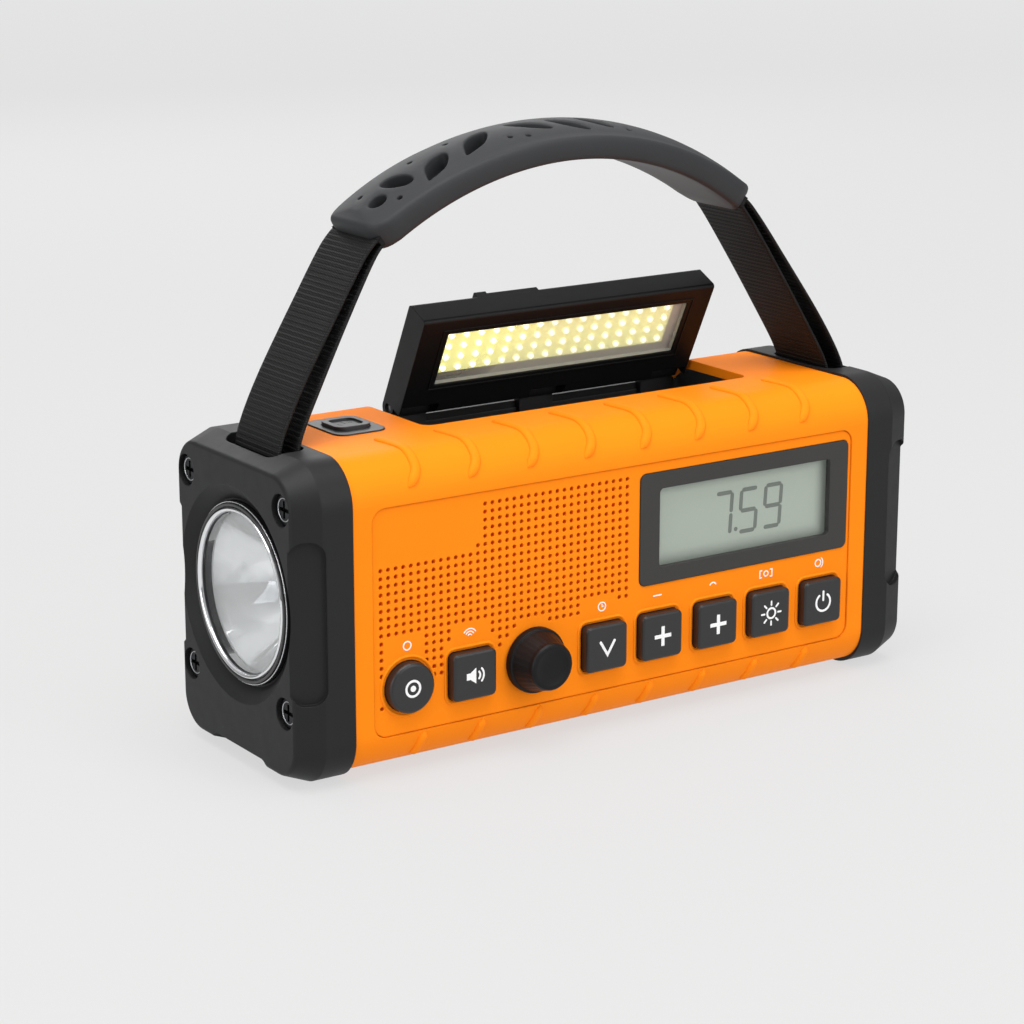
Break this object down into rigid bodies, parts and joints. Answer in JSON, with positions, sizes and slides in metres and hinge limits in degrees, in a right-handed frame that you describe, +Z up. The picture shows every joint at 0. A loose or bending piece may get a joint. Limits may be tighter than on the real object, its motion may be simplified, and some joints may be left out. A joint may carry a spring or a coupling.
{
  "type": "emergency radio",
  "caption": "Hand-crank emergency radio with digital display, flip-up lamp lid with solar panel, end flashlight, telescopic antenna and webbing carrying handle.",
  "frame": {"origin": "middle of the case on the plane its feet stand on", "axes": "+Z up, +X along the case away from the flashlight, +Y from the display face to the crank side"},
  "size_m": [0.16, 0.0653, 0.1274],
  "materials": {
    "orange_plastic": "satin moulded ABS",
    "black_plastic": "fine satin moulded ABS",
    "button_plastic": "satin keys with printed marks",
    "inner_plastic": "plain moulded nylon",
    "steel": "plated steel",
    "chrome": "bright plated",
    "bezel_ring": "gloss black ring",
    "clear_lens": "clear polycarbonate",
    "lcd": "grey-green liquid crystal",
    "circuit_board": "green solder mask",
    "lamp_yellow": "pale yellow lamp board",
    "led_white": "white LED packages",
    "solar": "dark blue silicon under resin",
    "ferrite": "dark ferrite with coil",
    "cell": "shrink-wrapped lithium cell",
    "paper": "pressed paper cone",
    "grip_rubber": "soft-touch grip",
    "port_rubber": "soft flap",
    "webbing": "ribbed nylon webbing"
  },
  "bodies": {
    "case": {"antenna_bracket": "black_plastic", "battery_cell": "cell", "battery_cradle": "inner_plastic", "case_screws": "steel", "crank_bush": "black_plastic", "display_bezel": "black_plastic", "display_window": "clear_lens", "ferrite_rod": "ferrite", "flashlight_bezel": "bezel_ring", "flashlight_board": "circuit_board", "flashlight_lens": "clear_lens", "flashlight_reflector": "chrome", "front_fascia": "orange_plastic", "gear_plate": "inner_plastic", "generator": "steel", "hinge_pin": "steel", "keypad_board": "circuit_board", "lcd_panel": "lcd", "left_end_cap": "black_plastic", "main_board": "circuit_board", "main_housing": "orange_plastic", "port_board": "circuit_board", "rear_cover": "orange_plastic", "recess_tray": "black_plastic", "right_end_cap": "black_plastic", "speaker_cone": "paper", "speaker_frame": "steel", "strap_pins": "steel", "top_button_plate": "black_plastic", "top_switch_board": "circuit_board", "tuning_encoder": "steel"},
    "lid": {"lid_frame": "black_plastic", "solar_panel": "solar", "lamp_board": "lamp_yellow", "lamp_leds": "led_white", "lamp_lens": "clear_lens"},
    "tuning_knob": {"tuning_knob": "button_plastic"},
    "top_button": {"top_button": "button_plastic"},
    "crank": {"crank_arm": "black_plastic", "drive_gear": "inner_plastic"},
    "crank_stem": {"crank_stem": "button_plastic"},
    "crank_grip": {"crank_grip": "button_plastic"},
    "idler": {"idler_gear": "inner_plastic"},
    "rotor": {"generator_pinion": "inner_plastic"},
    "antenna_base": {"antenna_base": "black_plastic"},
    "antenna_tube": {"antenna_tube": "chrome"},
    "antenna_middle": {"antenna_middle_tube": "chrome"},
    "antenna_tip": {"antenna_tip": "chrome"},
    "handle": {"handle_grip": "grip_rubber", "grip_webbing": "webbing", "left_webbing": "webbing", "right_webbing": "webbing"},
    "port_cover": {"port_cover": "port_rubber"},
    "sound_button": {"sound_button": "button_plastic"},
    "down_button": {"down_button": "button_plastic"},
    "minus_button": {"minus_button": "button_plastic"},
    "plus_button": {"plus_button": "button_plastic"},
    "light_button": {"light_button": "button_plastic"},
    "power_button": {"power_button": "button_plastic"},
    "target_button": {"target_button": "button_plastic"}
  },
  "joints": [
    {"name": "lid_hinge", "type": "hinge", "parent": "case", "child": "lid", "pos_m": [0, 0.0223, 0.0646], "axis": [-1, 0, 0], "range_deg": [-64, 46]},
    {"name": "sound_press", "type": "slide", "parent": "case", "child": "sound_button", "axis": [0, 1, 0], "range_m": [0, 0.0008], "stiffness_N_per_m": 500},
    {"name": "down_press", "type": "slide", "parent": "case", "child": "down_button", "axis": [0, 1, 0], "range_m": [0, 0.0008], "stiffness_N_per_m": 500},
    {"name": "minus_press", "type": "slide", "parent": "case", "child": "minus_button", "axis": [0, 1, 0], "range_m": [0, 0.0008], "stiffness_N_per_m": 500},
    {"name": "plus_press", "type": "slide", "parent": "case", "child": "plus_button", "axis": [0, 1, 0], "range_m": [0, 0.0008], "stiffness_N_per_m": 500},
    {"name": "light_press", "type": "slide", "parent": "case", "child": "light_button", "axis": [0, 1, 0], "range_m": [0, 0.0008], "stiffness_N_per_m": 500},
    {"name": "power_press", "type": "slide", "parent": "case", "child": "power_button", "axis": [0, 1, 0], "range_m": [0, 0.0008], "stiffness_N_per_m": 500},
    {"name": "target_press", "type": "slide", "parent": "case", "child": "target_button", "axis": [0, 1, 0], "range_m": [0, 0.0008], "stiffness_N_per_m": 500},
    {"name": "top_press", "type": "slide", "parent": "case", "child": "top_button", "axis": [0, 0, -1], "range_m": [0, 0.0007], "stiffness_N_per_m": 500},
    {"name": "tuning_turn", "type": "hinge", "parent": "case", "child": "tuning_knob", "pos_m": [-0.0232, -0.026, 0.019], "axis": [0, 1, 0], "continuous": true},
    {"name": "crank_turn", "type": "hinge", "parent": "case", "child": "crank", "pos_m": [0.03, 0.026, 0.0265], "axis": [0, 1, 0], "continuous": true},
    {"name": "idler_turn", "type": "hinge", "parent": "case", "child": "idler", "pos_m": [0.012, 0.017, 0.0265], "axis": [0, 1, 0], "continuous": true},
    {"name": "rotor_turn", "type": "hinge", "parent": "case", "child": "rotor", "pos_m": [0.00097, 0.014, 0.03576], "axis": [0, 1, 0], "continuous": true},
    {"name": "crank_fold", "type": "hinge", "parent": "crank", "child": "crank_stem", "pos_m": [0.011, 0.02945, 0.0265], "axis": [0, 0, 1], "range_deg": [0, 90]},
    {"name": "crank_grip_spin", "type": "hinge", "parent": "crank_stem", "child": "crank_grip", "pos_m": [0.018, 0.02945, 0.0265], "axis": [1, 0, 0], "continuous": true},
    {"name": "antenna_swivel", "type": "hinge", "parent": "case", "child": "antenna_base", "pos_m": [0.06, 0.029, 0.0556], "axis": [1, 0, 0], "range_deg": [0, 90]},
    {"name": "antenna_elbow", "type": "hinge", "parent": "antenna_base", "child": "antenna_tube", "pos_m": [0.0525, 0.029, 0.0556], "axis": [0, 0, -1], "range_deg": [0, 90]},
    {"name": "antenna_slide_1", "type": "slide", "parent": "antenna_tube", "child": "antenna_middle", "axis": [-1, 0, 0], "range_m": [0, 0.078]},
    {"name": "antenna_slide_2", "type": "slide", "parent": "antenna_middle", "child": "antenna_tip", "axis": [-1, 0, 0], "range_m": [0, 0.078]},
    {"name": "handle_swing", "type": "hinge", "parent": "case", "child": "handle", "pos_m": [0, 0, 0.068], "axis": [1, 0, 0], "range_deg": [-75, 75], "deforming": ["left_webbing", "right_webbing"]},
    {"name": "port_cover_open", "type": "hinge", "parent": "case", "child": "port_cover", "pos_m": [-0.038, 0.0265, 0.0095], "axis": [-1, 0, 0], "range_deg": [0, 110]}
  ],
  "couplings": [
    {"joint": "idler_turn", "follows": "crank_turn", "ratio": -4},
    {"joint": "rotor_turn", "follows": "crank_turn", "ratio": 12}
  ]
}
